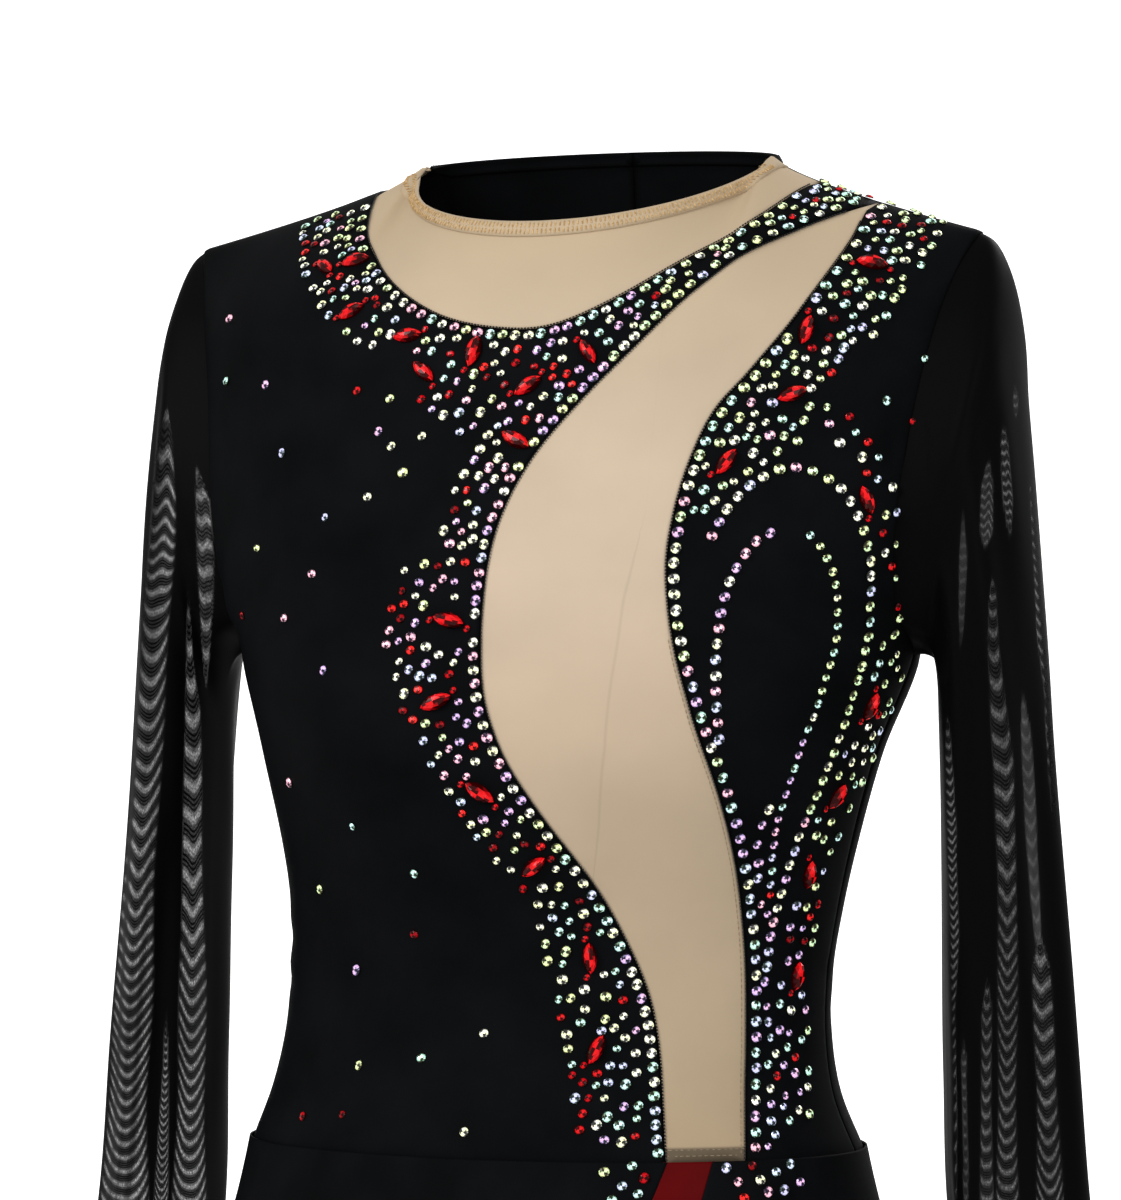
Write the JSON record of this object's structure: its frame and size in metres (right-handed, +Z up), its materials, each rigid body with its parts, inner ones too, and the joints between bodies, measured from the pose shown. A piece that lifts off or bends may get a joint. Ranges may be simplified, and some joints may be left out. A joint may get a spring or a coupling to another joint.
{
  "type": "figure skating dress",
  "caption": "Long-sleeved figure skating dress with a nude insert and yoke, sheer sleeves, stone trim, a short flared skirt with a red gore, and briefs.",
  "frame": {"origin": "middle of the shoulder line, halfway between the two neck points, where the wearer's shoulders carry the dress", "axes": "+Z up, +X towards the wearer's left, -Y towards the front"},
  "size_m": [0.5089, 0.325, 0.7201],
  "materials": {
    "black_lycra": "matte black stretch lycra with a soft sheen",
    "nude_mesh": "matte nude stretch mesh over a nude backing",
    "black_mesh": "sheer black stretch mesh",
    "red_lycra": "deep red stretch lycra"
  },
  "bodies": {
    "root": {"front_right": "black_lycra", "front_left": "black_lycra", "front_insert": "nude_mesh", "front_yoke": "nude_mesh", "neck_binding_front": "nude_mesh", "back_right": "black_lycra", "back_left": "black_lycra", "neck_binding_back_right": "black_lycra", "neck_binding_back_left": "black_lycra", "sleeve_right": "black_mesh", "sleeve_left": "black_mesh", "skirt": "black_lycra", "skirt_gore": "red_lycra", "briefs_front": "black_lycra", "briefs_back": "black_lycra"}
  },
  "joints": []
}
